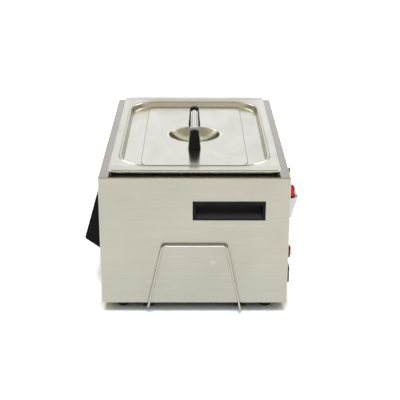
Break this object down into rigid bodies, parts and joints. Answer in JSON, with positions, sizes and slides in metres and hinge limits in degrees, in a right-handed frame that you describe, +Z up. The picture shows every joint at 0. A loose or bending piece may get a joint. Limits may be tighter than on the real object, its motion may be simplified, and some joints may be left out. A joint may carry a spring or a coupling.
{
  "type": "paraffin wax bath",
  "caption": "Countertop stainless-steel wax bath with a lift-off lid, control wedge, drain tap, recessed carry handles, fused inlet and a swing-out wire rest.",
  "frame": {"origin": "middle of the overall box, at the level the feet stand on", "axes": "+X along the bath towards the end with the wire rest, -Y towards the control wedge at the front, +Z up"},
  "size_m": [0.569, 0.4636, 0.3193],
  "materials": {
    "stainless_housing": "horizontal brushed grain",
    "stainless_lid": "satin pressed sheet, bright at the bends",
    "stainless_tank": "satin",
    "bright_steel": "polished",
    "tap_chrome": "polished plating",
    "black_plastic": "fine moulded texture",
    "gloss_black_plastic": "smooth moulded",
    "fascia_film": "semi-gloss film",
    "smoked_lens": "clear smoked",
    "grey_plastic": "moulded",
    "red_plastic": "smooth moulded",
    "red_lens": "translucent lit rocker",
    "black_rubber": "moulded",
    "clear_silicone": "smooth",
    "heater_silicone": "fabric-backed sheet",
    "insulation_felt": "fibrous",
    "circuit_board": "solder mask",
    "zinc_plated_steel": "plated",
    "brass": "machined",
    "fuse_glass": "clear tube",
    "wire_sleeve": "extruded sleeve"
  },
  "bodies": {
    "housing": {"housing_shell": "stainless_housing", "base_plate": "stainless_housing", "tank": "stainless_tank", "tank_seal": "black_rubber", "insulation_blanket": "insulation_felt", "heater_mat": "heater_silicone", "thermal_cutout": "grey_plastic", "temperature_probe": "bright_steel", "probe_bracket": "zinc_plated_steel", "carry_handle_right": "black_plastic", "carry_handle_left": "black_plastic", "wire_clip_front": "black_plastic", "wire_clip_rear": "black_plastic", "control_housing": "black_plastic", "control_fascia": "fascia_film", "display_lens": "smoked_lens", "display_module": "grey_plastic", "control_board": "circuit_board", "rocker_frame": "black_plastic", "inlet_body": "black_plastic", "inlet_contacts": "brass", "tap_body": "tap_chrome", "tap_washer": "black_rubber", "tap_locknut": "brass", "tap_bonnet": "red_plastic", "lever_pin": "zinc_plated_steel", "drain_hose": "clear_silicone", "hose_clamp_tank": "zinc_plated_steel", "hose_clamp_tap": "zinc_plated_steel", "board_carrier": "black_plastic", "power_board": "circuit_board", "terminal_block": "grey_plastic", "earth_stud": "brass", "mains_wires": "wire_sleeve", "heater_leads": "wire_sleeve", "foot_1": "black_rubber", "foot_bolt_1": "zinc_plated_steel", "foot_2": "black_rubber", "foot_bolt_2": "zinc_plated_steel", "foot_3": "black_rubber", "foot_bolt_3": "zinc_plated_steel", "foot_4": "black_rubber", "foot_bolt_4": "zinc_plated_steel"},
    "lid": {"lid": "stainless_lid", "handle_foot_right": "gloss_black_plastic", "handle_foot_left": "gloss_black_plastic", "handle_bar": "bright_steel", "handle_screw_right": "zinc_plated_steel", "handle_screw_left": "zinc_plated_steel"},
    "tap_lever": {"tap_lever": "red_plastic"},
    "tap_seat": {"tap_seat_cup": "clear_silicone"},
    "rocker": {"rocker_paddle": "red_lens"},
    "fuse_drawer": {"fuse_drawer": "black_plastic", "fuse": "fuse_glass"},
    "wire_rest": {"wire_rest": "bright_steel"},
    "button_power": {"button_power": "grey_plastic"},
    "button_set": {"button_set": "grey_plastic"},
    "button_down": {"button_down": "grey_plastic"},
    "button_up": {"button_up": "grey_plastic"},
    "button_timer": {"button_timer": "grey_plastic"}
  },
  "joints": [
    {"name": "lid_lift", "type": "slide", "parent": "housing", "child": "lid", "axis": [0, 0, 1], "range_m": [0, 0.3]},
    {"name": "tap_lever_tilt", "type": "hinge", "parent": "housing", "child": "tap_lever", "pos_m": [-0.1525, 0.20977, 0.102], "axis": [-1, 0, 0], "range_deg": [0, 30], "stiffness_Nm_per_rad": 0.4},
    {"name": "tap_seat_lift", "type": "slide", "parent": "housing", "child": "tap_seat", "axis": [0, 0, 1], "range_m": [0, 0.0042]},
    {"name": "rocker_tilt", "type": "hinge", "parent": "housing", "child": "rocker", "pos_m": [0.2585, 0.17077, 0.1251], "axis": [1, 0, 0], "range_deg": [-24, 0]},
    {"name": "fuse_drawer_slide", "type": "slide", "parent": "housing", "child": "fuse_drawer", "axis": [0, 1, 0], "range_m": [0, 0.018]},
    {"name": "wire_rest_swing", "type": "hinge", "parent": "housing", "child": "wire_rest", "pos_m": [0.2625, -0.01123, 0.0157], "axis": [0, 1, 0], "range_deg": [0, 25]},
    {"name": "button_power_press", "type": "slide", "parent": "housing", "child": "button_power", "axis": [0, 0.9583, -0.2857], "range_m": [0, 0.0012], "stiffness_N_per_m": 400},
    {"name": "button_set_press", "type": "slide", "parent": "housing", "child": "button_set", "axis": [0, 0.9583, -0.2857], "range_m": [0, 0.0012], "stiffness_N_per_m": 400},
    {"name": "button_down_press", "type": "slide", "parent": "housing", "child": "button_down", "axis": [0, 0.9583, -0.2857], "range_m": [0, 0.0012], "stiffness_N_per_m": 400},
    {"name": "button_up_press", "type": "slide", "parent": "housing", "child": "button_up", "axis": [0, 0.9583, -0.2857], "range_m": [0, 0.0012], "stiffness_N_per_m": 400},
    {"name": "button_timer_press", "type": "slide", "parent": "housing", "child": "button_timer", "axis": [0, 0.9583, -0.2857], "range_m": [0, 0.0012], "stiffness_N_per_m": 400}
  ],
  "couplings": [
    {"joint": "tap_seat_lift", "follows": "tap_lever_tilt", "m_per_rad": 0.00763}
  ]
}
